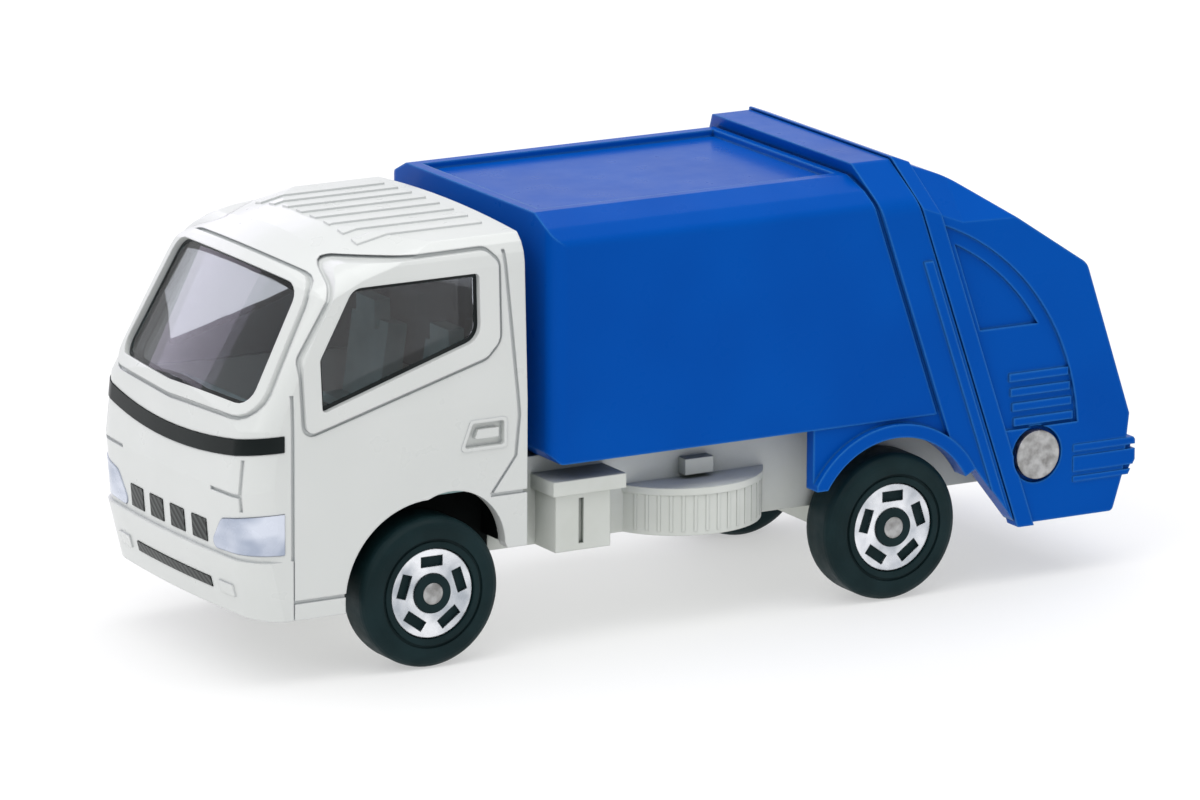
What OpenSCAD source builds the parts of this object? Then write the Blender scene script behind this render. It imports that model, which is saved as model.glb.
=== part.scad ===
// Toy garbage truck: die-cast cab and tipping load body on a moulded base, with free-running wheels.
// +X is forward, +Y is the truck's left, +Z is up, and z = 0 is the ground. Lengths are millimetres.

/* [Overall] */
// Front axle to the foremost point of the cab
front_overhang = 15.3; // [14.5:0.1:16.5]
// Front axle to rear axle
wheelbase = 39; // [37:0.5:42]
// Rear axle to the rearmost point of the tail
rear_overhang = 21.2; // [20.4:0.1:22.5]

/* [Wheels] */
// Diameter of the tyre over its tread
tyre_d = 11.2; // [10.6:0.1:11.6]
// Width of a wheel
tyre_w = 3.9; // [3:0.1:4.2]
// Distance over the outer faces of a pair of wheels
wheels_over = 25.2; // [24.6:0.1:25.6]
// Rounding of the tread's shoulders
shoulder_r = 0.9; // [0.5:0.1:1.2]
// Diameter of the silver wheel face
face_d = 6.6; // [6:0.1:7.2]
// Thickness of the silver wheel face
face_t = 0.3; // [0.2:0.05:0.4]
// Depth of the dish that the wheel face lies in
dish_depth = 0.5; // [0.4:0.05:0.7]
// Slots in each wheel face
slot_count = 5; // [4:1:6]
// Length of a wheel-face slot
slot_l = 1.8; // [1.4:0.1:2]
// Height of a wheel-face slot
slot_h = 0.8; // [0.5:0.1:0.9]
// Diameter of the hub that stands through the wheel face
hub_d = 2.9; // [2.6:0.1:3.1]
// Diameter of an axle rod
axle_d = 1.2; // [1:0.1:1.4]
// Diameter of the spread head at each end of an axle
axle_head_d = 1.6; // [1.5:0.1:2]
// Thickness of an axle's spread head
axle_head_t = 0.25; // [0.15:0.05:0.35]
// Radial play of an axle in its bearings
axle_play = 0.06; // [0.03:0.01:0.1]

/* [Cab] */
// Length of the cab from its nose to its back wall
cab_l = 23.35; // [22.8:0.05:23.8]
// Width of the cab below the windows
cab_w = 24.2; // [23.8:0.1:24.8]
// Height of the roof's edges above the ground
cab_h = 31.2; // [30.2:0.1:32]
// Rise of the roof's middle above its edges
roof_crown = 0.3; // [0.1:0.1:0.5]
// How far the window surrounds stand out from the cab's skin
surround_proud = 0.2; // [0.1:0.01:0.25]
// Width of the windscreen's surround
surround_w = 0.9; // [0.6:0.1:1.1]
// Width of the door seams
seam_w = 0.28; // [0.2:0.02:0.36]
// Depth of the door seams
seam_depth = 0.22; // [0.15:0.01:0.3]
// Height of the ribs on the roof
roof_rib = 0.14; // [0.08:0.01:0.2]
// Distance between the ribs on the roof
roof_rib_pitch = 2.1; // [1.9:0.1:2.3]
// Height of the cab's lower edge ahead of the wheels
cab_z0 = 4.9; // [4.6:0.1:5.2]
// Height of the cab's lower edge behind the front wheels
cab_rear_z0 = 8.1; // [7.6:0.1:8.6]
// Thickness of the cab's walls
cab_wall = 1.1; // [0.9:0.05:1.2]
// How far each side leans in above the belt line
tumblehome = 0.6; // [0.3:0.1:0.9]
// Height of the belt line
belt_z = 19; // [18:0.1:20]
// Rounding between the roof and the sides
roof_r = 2.6; // [2:0.1:3]
// Rounding of the front corners
nose_r = 3; // [2.4:0.1:3.4]
// Height of the foremost line of the nose
nose_z = 14.3; // [13.8:0.1:15]
// Radius of the nose as seen from above
nose_bow_r = 110; // [80:5:200]
// Radius of the windscreen across its width
screen_bow_r = 40; // [35:1:60]
// Lean of the windscreen from upright
screen_lean = 29.6; // [27:0.2:32]
// Height of the crease below the windscreen
screen_z = 20.86; // [20:0.1:21.5]
// How far that crease lies behind the nose
screen_back = 0.7; // [0.4:0.1:1]
// Lean of the brow above the windscreen from upright
brow_lean = 67; // [64:1:70]
// How far the roof's front edge lies behind the nose
brow_back = 9.5; // [9.2:0.1:9.8]
// Height of the bend between the bumper and its lower slope
chin_z = 7.5; // [7.2:0.1:7.8]
// How far that bend lies behind the nose
chin_back = 0.9; // [0.7:0.1:1.1]
// How far the bumper stands out from the front panel
bumper_proud = 0.3; // [0.1:0.05:0.35]
// Radius of the front wheel arch
arch_r = 6.9; // [6.6:0.1:7.1]
// Gap between the glass and its opening
glass_gap = 0.04; // [0.02:0.01:0.08]
// Thickness of the glazing moulding
glass_t = 0.8; // [0.6:0.1:1]
// How far the panes lie below the cab's skin
glass_sink = 0.3; // [0.2:0.05:0.5]

/* [Lamps and grille] */
// Depth of the pockets for lamps and grille panels
pocket_depth = 0.5; // [0.4:0.05:0.6]
// How far the lamps and panels stand proud of the skin
inlay_proud = 0.08; // [0.04:0.02:0.12]
// Gap round each lamp or panel in its pocket
inlay_gap = 0.03; // [0.02:0.01:0.05]
// Inner end of a headlamp from the centre line
lamp_in = 6.2; // [6:0.1:6.6]
// Height of a headlamp's lower edge
lamp_z0 = 9.6; // [9.5:0.1:9.9]
// Height of a headlamp's upper edge at the cab's side
lamp_z1 = 12.9; // [12.6:0.1:13.2]
// Length of the sloping inner end of a headlamp
lamp_taper = 1.9; // [1.4:0.1:2.4]
// Distance of the seam between front panel and door behind the nose
seam_back = 4.2; // [3.9:0.1:4.5]
// Height of the dark band's lower edge at the centre line
band_z0 = 16.3; // [15.8:0.1:16.8]
// Height of the dark band
band_h = 1.2; // [1:0.1:1.5]
// Rise of the dark band towards its ends
band_rise = 1.1; // [0.6:0.1:1.4]
// Width of a grille opening
grille_w = 2.1; // [1.8:0.1:2.3]
// Height of a grille opening
grille_h = 1.7; // [1.4:0.1:1.9]
// Distance between grille openings
grille_pitch = 3.25; // [3:0.05:3.4]
// Height of the grille openings' middle
grille_z = 10.7; // [10.6:0.1:11]
// Length of the slot in the bumper
slot_w = 11.6; // [10:0.2:12.4]
// Height of the slot in the bumper
bumper_slot_h = 0.8; // [0.6:0.1:1]
// Height of the bumper slot's middle
bumper_slot_z = 6.8; // [6.5:0.1:7.2]
// Height of the line between bumper and front panel
bumper_line_z = 9.35; // [9.2:0.05:9.4]
// Distance of the upright line above a headlamp from the centre line
corner_line_y = 10.5; // [10.2:0.1:10.8]
// Distance of an indicator's inner end from the centre line
indicator_y = 7; // [6.7:0.1:7.3]
// Width of an indicator
indicator_w = 1.9; // [1.5:0.1:2.2]
// Height of an indicator
indicator_h = 0.9; // [0.6:0.1:1]

/* [Cab interior] */
// Front axle to the interior's front edge
interior_l1 = 10.6; // [10:0.1:11]
// Front axle back to the seats' rear
seat_back = 4.4; // [4:0.1:4.8]
// Distance of a seat's middle from the centre line
seat_y = 5.6; // [5.2:0.1:6]
// Width of a seat
seat_w = 6; // [5:0.1:6.6]
// Length of a seat's cushion
seat_l = 6; // [5:0.1:6.6]
// Height of a seat's cushion above the floor
seat_h = 3.6; // [3:0.1:4]
// Height of a backrest above the floor
backrest_h = 9.6; // [8.6:0.1:10]
// Thickness of a backrest
backrest_t = 1.6; // [1.2:0.1:2]
// Width of a headrest
headrest_w = 2.8; // [2:0.1:3.4]
// Length of the dashboard
dash_l = 3; // [2.4:0.1:3.6]
// Height of the dashboard above the floor
dash_h = 5.4; // [4.8:0.1:6]
// Radius of the steering wheel
steer_r = 2.3; // [2:0.1:2.6]

/* [Load body] */
// Gap between the cab's back and the load body
body_gap = 1.9; // [1.5:0.1:2.3]
// Width of the load body
body_w = 24.9; // [24.6:0.1:25.2]
// Height of the load body's lower edge
body_z0 = 13.8; // [13.5:0.1:14.1]
// Height of the roof rim
body_h = 32.1; // [31.4:0.1:32.6]
// Depth of the roof panel below its rim
roof_sink = 0.5; // [0.3:0.1:0.8]
// Distance of the rim's outer edge from the centre line
rim_y = 9.6; // [9.2:0.1:10]
// Width of the roof rim
rim_w = 0.9; // [0.7:0.1:1.2]
// Drop of the shoulder from the rim
shoulder_drop = 0.9; // [0.6:0.1:1.2]
// Half width of the flat top of the rear frame and tailgate
ridge_y = 10; // [9.6:0.1:10.4]
// Drop of the sloping shoulders of the rear frame and tailgate
ridge_drop = 3; // [2.4:0.1:3.4]
// Rounding of the load body's upright corners
body_r = 1.3; // [0.8:0.1:1.6]
// Thickness of the load body's walls
body_wall = 1.2; // [1:0.1:1.3]
// Thickness of the load body's floor
body_floor_t = 1; // [0.8:0.1:1.2]
// Lean of the rear frame and tailgate from upright
tail_lean = 19; // [17:0.5:21]
// Length of the rear frame
frame_l = 3.3; // [3.1:0.05:3.5]
// Rear axle to the rear frame's front edge, at the body's lower edge
frame_back = 4.1; // [3.8:0.1:4.4]
// How far the rear frame stands out from the sides
frame_proud = 0.25; // [0.15:0.05:0.35]
// Height of the rear frame's top
frame_h = 33; // [32.8:0.1:33.4]
// Radius of the rear wheel arch
rear_arch_r = 6.9; // [6.7:0.1:7.2]
// Width of the lip round the rear wheel arch
lip_w = 1; // [0.6:0.1:1.1]
// How far that lip stands out from the load body's sides
lip_proud = 0.4; // [0.3:0.05:0.45]
// Step in from the load body's sides to its skirts
skirt_in = 0.2; // [0.1:0.05:0.3]
// Gap between the rear frame and the tailgate
tail_gap = 0.15; // [0.1:0.05:0.25]
// Rear axle to the skirt's front edge
skirt_l = 6.8; // [6.5:0.1:7.2]
// Height of the skirt's lower edge
skirt_z0 = 9.2; // [8.8:0.1:9.5]

/* [Tailgate] */
// How far the tailgate stands out from the load body's sides
tail_proud = 0.15; // [0.05:0.05:0.25]
// Height of the tailgate's lower edge
tail_z0 = 4.5; // [4.2:0.1:4.9]
// Rearmost point to the rear end of the flat top
crown_x = 15.5; // [15:0.1:16]
// Height of the flat top's rear end
crown_z = 31.2; // [31:0.1:31.5]
// Rearmost point to the bend between the sloping roof and the rear face
brow_x = 4.5; // [4.2:0.1:4.8]
// Height of that bend
brow_z = 23.9; // [23.6:0.1:24.2]
// Rearmost point to the bend at the foot of the rear face
waist_x = 0.5; // [0.4:0.05:0.7]
// Height of that bend
waist_z = 11.9; // [11.6:0.1:12.2]
// Rearmost point to the bend below the rear bumper
heel_x = 1.05; // [0.9:0.05:1.2]
// Height of that bend
heel_z = 7.2; // [7:0.1:7.4]
// Rearmost point to the tailgate's rear lower corner
foot_x = 1.9; // [1.7:0.1:2.1]
// Thickness of the tailgate's walls
tail_wall = 1.2; // [1:0.1:1.3]
// Width of the hopper's mouth
mouth_w = 19; // [17:0.2:20]
// Thickness of the hopper's floor and front panel
hopper_t = 1; // [0.8:0.1:1.2]
// Gap between the hopper's floor and the base's end
tip_gap = 0.5; // [0.3:0.1:0.7]
// Width of the raised frame round the mouth
mouth_frame_w = 0.8; // [0.5:0.1:1]
// How far that frame stands out
mouth_frame_proud = 0.25; // [0.15:0.05:0.35]
// Inner end of a rear lamp from the centre line
lamp_y = 8.2; // [7.4:0.1:9]
// How far the lamp blocks stand out from the tailgate's sides
lamp_proud = 0.1; // [0.05:0.05:0.2]
// Width of the flange along the tailgate's front edge
flange_w = 1.4; // [1.1:0.1:1.6]
// How far that flange stands out
flange_proud = 0.2; // [0.1:0.05:0.3]
// Depth of each step of the panel in the tailgate's sides
panel_step = 0.28; // [0.2:0.02:0.32]
// Radius of the arc round that panel
panel_r = 18.9; // [18.7:0.1:19]
// Rear axle forward to the arc's centre
panel_cx = 2.78; // [2.7:0.02:2.86]
// Height of the arc's centre
panel_cz = 10.5; // [10.4:0.1:10.6]
// Width of the panel between its arc and the deeper pocket
panel_rim = 1; // [0.8:0.1:1.3]
// Height of the panel's lower edge
panel_z0 = 11.8; // [11.6:0.1:12]
// Height of the pocket's lower edge
shelf_z = 19.7; // [19.5:0.1:20]
// Height of the mouth's upper edge
mouth_z1 = 21.8; // [20.6:0.1:22.4]

/* [Tipping pin] */
// Rear axle to the tipping pin
pin_back = 12.5; // [12.3:0.1:12.8]
// Height of the tipping pin
pin_z = 9.7; // [9.5:0.1:10]
// Diameter of the pin's shank
pin_d = 2; // [1.8:0.1:2.2]
// Diameter of the pin's heads
pin_head_d = 3.7; // [3.4:0.1:4]
// Thickness of the pin's heads
pin_head_t = 0.7; // [0.6:0.05:0.8]
// Depth of the pocket round a head
pin_pocket = 0.5; // [0.4:0.05:0.6]
// Gap round a head in its pocket
pin_pocket_gap = 0.32; // [0.2:0.02:0.4]
// Radial play of the pin in the base
pin_play = 0.06; // [0.03:0.01:0.1]

/* [Base] */
// Gap between a wheel and the base's side
wheel_gap = 0.2; // [0.1:0.05:0.5]
// Height of the base's underside
base_z0 = 7; // [6.8:0.1:7.4]
// Gap between the base's deck and the load body
deck_gap = 0.15; // [0.1:0.05:0.3]
// Gap round the base where it passes through the cab's back
base_fit = 0.05; // [0.03:0.01:0.1]
// Radius of the base's rounded rear end
base_end_r = 2.7; // [2.4:0.1:2.7]
// Height of the bearing blocks' underside
bearing_z0 = 4.3; // [4:0.1:4.6]
// Length of a bearing block
bearing_l = 4.4; // [3.6:0.1:5]
// Height of the floor under the cab
cab_floor_z = 12.4; // [12.2:0.1:12.8]
// Length of the tool box's lid
box_l = 6.1; // [5.4:0.1:6.4]
// How far the tool box's lid lies inside the load body's side
box_in = 0.55; // [0.4:0.05:1]
// Height of the tool box's lid top
box_h = 12.4; // [12:0.1:12.8]
// Load body's front to the middle of the spare wheel's cover
spare_back = 14.1; // [13.8:0.1:14.4]
// Radius of the spare wheel's cover
spare_r = 6.6; // [6.2:0.1:6.8]
// How far the cover lies inside the load body's side
spare_in = 0.05; // [0.05:0.05:0.5]
// Height of the cover
spare_h = 3.6; // [3.2:0.1:4]

/* [Hidden] */

$fn = 64;
far = 100;
cut = 0.5;
arc_steps = 5;

// Stations along the truck, from the middle of its length
truck_l = front_overhang + wheelbase + rear_overhang;
nose_x = truck_l / 2;
front_axle_x = nose_x - front_overhang;
rear_axle_x = front_axle_x - wheelbase;
tail_x = -truck_l / 2;
cab_x0 = nose_x - cab_l;
body_x1 = cab_x0 - body_gap;
seam_x = nose_x - seam_back;
// How far behind the nose the cuts for lamps, grille and lines of the front panel reach
front_reach = 9;
frame_x = rear_axle_x - frame_back;
pin_x = rear_axle_x - pin_back;
axle_z = tyre_d / 2;
lean_tan = tan(tail_lean);
base_w = wheels_over - 2 * (tyre_w + wheel_gap);
tail_w = body_w + 2 * tail_proud;
deck_z = body_z0 - deck_gap;
deck_x1 = cab_x0 + cab_wall + 0.2;
lining_y = base_w / 2 - 0.6;
well_x1 = front_axle_x + arch_r + 0.4;

// Points of a polygon and its rounded corners
function unit(v) = v / norm(v);
function at(p, i) = p[(i + len(p)) % len(p)];
function fillet(a, b, c, r) =
    let (u = unit(a - b), v = unit(c - b), half = acos(u * v) / 2, m = b + unit(u + v) * r / sin(half),
         s = b + u * r / tan(half) - m, e = b + v * r / tan(half) - m, a0 = atan2(s[1], s[0]),
         turn = (atan2(e[1], e[0]) - a0 + 540) % 360 - 180)
    [for (k = [0:arc_steps]) m + r * [cos(a0 + turn * k / arc_steps), sin(a0 + turn * k / arc_steps)]];
function rounded(p, r) = [for (i = [0:len(p) - 1])
    each (r[i] > 0 ? fillet(at(p, i - 1), p[i], at(p, i + 1), r[i]) : [p[i]])];
// Outline of an anticlockwise polygon moved outward by d
function grown(p, d) = [for (i = [0:len(p) - 1])
    let (u = unit(p[i] - at(p, i - 1)), v = unit(at(p, i + 1) - p[i]), a = [u[1], -u[0]], b = [v[1], -v[0]])
    p[i] + (a + b) * d / (1 + a * b)];

// Extrusions of an outline: (x, z) across the truck, and (y, z) along it
module across(w) { rotate([90, 0, 0]) linear_extrude(height = w, center = true) children(); }
module along(x0, x1) {
    translate([x0, 0, 0]) rotate([90, 0, 90]) linear_extrude(height = x1 - x0) children();
}
module both_sides() {
    children();
    mirror([0, 1, 0]) children();
}

// Half space beyond the plane through three points, moved in by t.
// Seen from that side, the points run anticlockwise.
module beyond(a, b, c, t) {
    n = unit(cross(b - a, c - a));
    translate(a - n * t) rotate(acos(n[2]), cross([0, 0, 1], n)) translate([-far, -far, 0])
        cube([2 * far, 2 * far, far]);
}

// A strip of width w along a line of points
function strip(p, w) = concat([for (q = p) q + [w / 2, 0]], [for (i = [len(p) - 1:-1:0]) p[i] - [w / 2, 0]]);

// A round bar across the truck
module cross_bar(x, z, r, w) {
    translate([x, 0, z]) rotate([90, 0, 0]) cylinder(r = r, h = w, center = true);
}

// Outline of the nose seen from above: bowed front at x = 0, rounded corners, straight sides
module bowed_outline(bow_r, corner_r, half_w) {
    corner_y = half_w - corner_r;
    turn = asin(corner_y / (bow_r - corner_r));
    corner_x = -bow_r + (bow_r - corner_r) * cos(turn);
    reach = 2 * bow_r;
    intersection() {
        translate([-bow_r, 0]) circle(r = bow_r, $fn = 200);
        translate([-bow_r, 0]) polygon([[0, 0], reach * [cos(turn), -sin(turn)], reach * [1, 0],
            reach * [cos(turn), sin(turn)]]);
    }
    for (side = [-1, 1]) translate([corner_x, side * corner_y]) circle(r = corner_r);
    translate([-far, -half_w]) square([far + corner_x, 2 * half_w]);
}

// A front face of the cab: it passes through (x, z), leans back by the angle, and is moved in by t.
// Its sides lie outside the cab's own sides by side_gap, so that no two planes of the cab coincide.
module front_face(x, z, lean, bow_r, corner_r, side_gap, t) {
    translate([x, 0, z]) rotate([0, -lean, 0]) translate([-t, 0, 0])
        linear_extrude(height = far, center = true)
            bowed_outline(bow_r - t, corner_r - t, cab_w / 2 + side_gap - t);
}

function cab_section(t) = let (w = cab_w / 2 - t, top = cab_h + roof_crown - t) rounded(
    [[-w, -cut], [w, -cut], [w, belt_z], [w - tumblehome, top], [-w + tumblehome, top], [-w, belt_z]],
    [0, 0, 0, roof_r - t, roof_r - t, 0]);
crown_half = cab_w / 2 - tumblehome - roof_r;
crown_r = (pow(crown_half, 2) + pow(roof_crown, 2)) / (2 * roof_crown);
// Where the brow meets the windscreen
brow_meet_z = (brow_back - screen_back + screen_z * tan(screen_lean) - cab_h * tan(brow_lean))
    / (tan(screen_lean) - tan(brow_lean));
brow_meet_x = nose_x - screen_back - (brow_meet_z - screen_z) * tan(screen_lean);
// A narrow face that takes off the edge between two faces at (x, z)
module eased_edge(x, z, lean0, lean1, ease, side_gap, t) {
    lean = (lean0 + lean1) / 2;
    front_face(x - ease * cos(lean), z - ease * sin(lean), lean, screen_bow_r, roof_r, side_gap, t);
}
// The cab's outer form, or its inner form when moved in by t
module cab_form(t) {
    chin_lean = -14;
    bumper_lean = -5;
    intersection() {
        along(cab_x0 + t, nose_x + 1) intersection() {
            polygon(cab_section(t));
            translate([0, cab_h + roof_crown - crown_r]) circle(r = crown_r - t, $fn = 200);
        }
        front_face(nose_x - chin_back, chin_z, chin_lean, nose_bow_r, nose_r, 0.05, t);
        front_face(nose_x, nose_z, bumper_lean, nose_bow_r, nose_r, 0.08, t);
        front_face(nose_x, nose_z, atan(screen_back / (screen_z - nose_z)), nose_bow_r, nose_r, 0.11, t);
        front_face(nose_x - screen_back, screen_z, screen_lean, screen_bow_r, roof_r, 0.14, t);
        front_face(nose_x - brow_back, cab_h, brow_lean, screen_bow_r, roof_r, 0.17, t);
        eased_edge(brow_meet_x, brow_meet_z, screen_lean, brow_lean, 0.14, 0.2, t);
        eased_edge(nose_x - brow_back, cab_h, brow_lean, 90, 0.09, 0.23, t);
    }
}

// Side window outline, from the front axle, and its corner radii
window_z0 = belt_z + 0.9;
window_z1 = belt_z + 9.7;
side_window = [[8.8, window_z0], [8.9, window_z0 + 3.9], [6.1, window_z1], [-4.2, window_z1],
    [-4.2, window_z0 + 4]];
side_window_r = [0.3, 0.5, 1.2, 0.4, 1.4];
module side_glass_zone(d) {
    translate([front_axle_x, 0, 0]) across(cab_w + 2)
        polygon(rounded(grown(side_window, d), [for (r = side_window_r) r + d]));
}
// Windscreen outline in the plane of the glass: (up the slope, across)
screen_l = 9.6;
screen_half_w0 = 10;
screen_half_w1 = 9.3;
module screen_zone(d) {
    outline = [[-0.3, 0], [0.15, -screen_half_w0], [screen_l, -screen_half_w1], [screen_l, screen_half_w1],
        [0.15, screen_half_w0]];
    translate([nose_x - screen_back, 0, screen_z]) rotate([0, 90 - screen_lean, 0]) rotate([0, 0, 180])
        linear_extrude(height = 9, center = true)
            polygon(rounded(grown(outline, d), [8, 1.4 + d, 1.4 + d, 1.4 + d, 1.4 + d]));
}

// Zones of the front skin, seen from ahead as (y, z)
module left_lamp_zone(d) {
    outer_y = cab_w / 2 + 1;
    zone = [[lamp_in, lamp_z0], [outer_y, lamp_z0 + 0.3], [outer_y, lamp_z1 + 0.2],
        [lamp_in + lamp_taper, lamp_z1 - 0.8]];
    along(seam_x + 0.7 - d, nose_x + 2) polygon(rounded(grown(zone, d), [0.5, 0, 0, 0.9]));
}
module lamp_zone(side, d) {
    if (side > 0) left_lamp_zone(d);
    else mirror([0, 1, 0]) left_lamp_zone(d);
}
function band_line(z, y) = [y, z + band_rise * pow(y / (cab_w / 2), 2)];
module band_zone(d) {
    steps = [-8:8];
    half = cab_w / 2 + 1;
    along(seam_x + 0.7 - d, nose_x + 2) polygon(concat(
        [for (k = steps) band_line(band_z0 - d, k * half / 8)],
        [for (k = steps) band_line(band_z0 + band_h + d, -k * half / 8)]));
}
module grille_zone(d) {
    for (k = [-1.5:1:1.5])
        translate([nose_x - front_reach, k * grille_pitch - grille_w / 2 - d, grille_z - grille_h / 2 - d])
            cube([far, grille_w + 2 * d, grille_h + 2 * d]);
}
module bumper_slot_zone(d) {
    translate([nose_x - front_reach, -slot_w / 2 - d, bumper_slot_z - bumper_slot_h / 2 - d])
        cube([far, slot_w + 2 * d, bumper_slot_h + 2 * d]);
}
// A layer of the cab's skin, from its pocket floor to just proud of the paint
module inlay(raised = 0) {
    difference() {
        intersection() {
            cab_form(-raised - inlay_proud);
            children();
        }
        cab_form(pocket_depth - inlay_gap);
    }
}

// The arch is fuller at its upper rear than a circle round the axle
module front_arch() {
    full_back = 1.75;
    full_up = 2.8;
    full_r = arch_r - 2.4;
    across(cab_w + 2) {
        translate([front_axle_x, axle_z]) circle(r = arch_r);
        translate([front_axle_x - full_back, axle_z + full_up]) circle(r = full_r);
    }
}

// Raised borders round the windows, and the bumper that stands out from the front panel
side_border = [[10.1, window_z0 - 1.5], [10.3, window_z0 + 3.9], [6.5, window_z1 + 1.4],
    [-4.9, window_z1 + 1.5], [-5.8, window_z1 + 0.6], [-5.8, window_z0 + 3.7], [-4.7, window_z0 + 2.6]];
side_border_r = [0.6, 1, 1.6, 0.8, 0.8, 1.2, 1.2];
module side_border_zone(d) {
    translate([front_axle_x, 0, 0]) across(cab_w + 2)
        polygon(rounded(grown(side_border, d), [for (r = side_border_r) r + d]));
}
module borders() {
    intersection() {
        cab_form(-surround_proud);
        union() {
            side_border_zone(0);
            screen_zone(surround_w);
        }
    }
    intersection() {
        cab_form(-bumper_proud);
        translate([seam_x, -cab_w / 2, 0]) cube([seam_back + 1, cab_w, bumper_line_z]);
    }
}
module roof_ribs() {
    rib_w = 0.9;
    rib_x0 = cab_x0 + 1.4;
    rib_x1 = nose_x - brow_back - 2.2;
    intersection() {
        cab_form(-roof_rib);
        for (k = [-3.5:1:3.5]) translate([rib_x0, k * roof_rib_pitch - rib_w / 2, cab_h - cab_wall / 2])
            cube([rib_x1 - rib_x0, rib_w, 2]);
    }
}
// Seams, grooves round the surrounds and step of the sill, as spaces that are cut into the skin
door_rear = [[-6.4, window_z1 + 1.4], [-7.1, belt_z + 2.6], [-7.4, belt_z - 1.1], [-7.1, 14.9], [-5.1, 12.3]];
sill_step_z = 6.1;
module seam_space() {
    panel_line_l = 3.6;
    panel_line_z = (lamp_z1 + band_z0) / 2 - 0.6;
    translate([seam_x - 0.1, -cab_w, -1]) cube([seam_w, 2 * cab_w, screen_z + 1.6]);
    translate([front_axle_x, 0, 0]) across(2 * cab_w) polygon(strip(door_rear, seam_w));
    translate([cab_x0 - 1, -cab_w, cab_floor_z - 0.35]) cube([4, 2 * cab_w, seam_w]);
    translate([front_axle_x + arch_r - 0.5, -cab_w, sill_step_z])
        cube([seam_back + seam_x - front_axle_x - arch_r - 3, 2 * cab_w, seam_w]);
    both_sides() {
        translate([seam_x, corner_line_y - seam_w / 2, lamp_z1 + 0.1])
            cube([front_reach, seam_w, band_z0 - lamp_z1 + 0.4]);
        translate([seam_x, corner_line_y - panel_line_l, panel_line_z])
            cube([front_reach, panel_line_l, seam_w]);
    }
    difference() {
        side_border_zone(seam_w);
        side_border_zone(-0.2);
    }
    difference() {
        screen_zone(surround_w + seam_w);
        screen_zone(surround_w - 0.2);
    }
}
// Door handle: a pocket with a grip left standing in it
handle_z = belt_z - 3.1;
handle_pocket = [[-6.1, handle_z], [-2.8, handle_z], [-3.5, handle_z + 1.8], [-6.1, handle_z + 1.8]];
handle_grip = [[-5.7, handle_z + 0.6], [-3.7, handle_z + 0.6], [-4, handle_z + 1.3], [-5.7, handle_z + 1.3]];
module handle_zone(outline, grow, r) {
    translate([front_axle_x, 0, 0]) across(cab_w + 2)
        polygon(rounded(grown(outline, grow), [for (p = outline) r]));
}
module indicator_zone() {
    both_sides() translate([nose_x - front_reach, indicator_y, bumper_slot_z - indicator_h / 2])
        cube([far, indicator_w, indicator_h]);
}

module cab_shell() color("white") {
    handle_lip = 0.25;
    indicator_proud = 0.13;
    handle_sink = 0.02;
    rear_sill_x1 = front_axle_x - arch_r + 0.9;
    difference() {
        union() {
            cab_form(0);
            borders();
            roof_ribs();
            intersection() {
                cab_form(-inlay_proud);
                handle_zone(handle_pocket, handle_lip, 0.3);
            }
            intersection() {
                cab_form(-bumper_proud - indicator_proud);
                indicator_zone();
            }
        }
        cab_form(cab_wall);
        translate([cab_x0 - 1, -cab_w, -1]) cube([cab_l + 3, 2 * cab_w, cab_z0 + 1]);
        translate([cab_x0 - 1, -cab_w, -1]) cube([rear_sill_x1 - cab_x0 + 1, 2 * cab_w, cab_rear_z0 + 1]);
        front_arch();
        translate([cab_x0 - 1, -base_w / 2 - base_fit, -1])
            cube([cab_wall + 2, base_w + 2 * base_fit, deck_z + base_fit + 1]);
        side_glass_zone(0);
        screen_zone(0);
        difference() {
            union() {
                for (side = [-1, 1]) lamp_zone(side, 0);
                band_zone(0);
                grille_zone(0);
                bumper_slot_zone(0);
            }
            cab_form(pocket_depth);
        }
        difference() {
            seam_space();
            cab_form(seam_depth);
            borders();
        }
        difference() {
            handle_zone(handle_pocket, 0, 0.2);
            cab_form(pocket_depth);
            intersection() {
                handle_zone(handle_grip, 0, 0.1);
                cab_form(handle_sink);
            }
        }
    }
}

module cab_glazing() color("lightcyan", 0.5) {
    skin = cab_wall + glass_gap;
    difference() {
        union() {
            difference() {
                cab_form(skin);
                translate([cab_x0, -cab_w, -1]) cube([cab_l + 2, 2 * cab_w, belt_z + 0.7]);
            }
            intersection() {
                cab_form(glass_sink);
                union() {
                    side_glass_zone(-glass_gap);
                    screen_zone(-glass_gap);
                }
            }
        }
        cab_form(skin + glass_t);
    }
}

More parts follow.
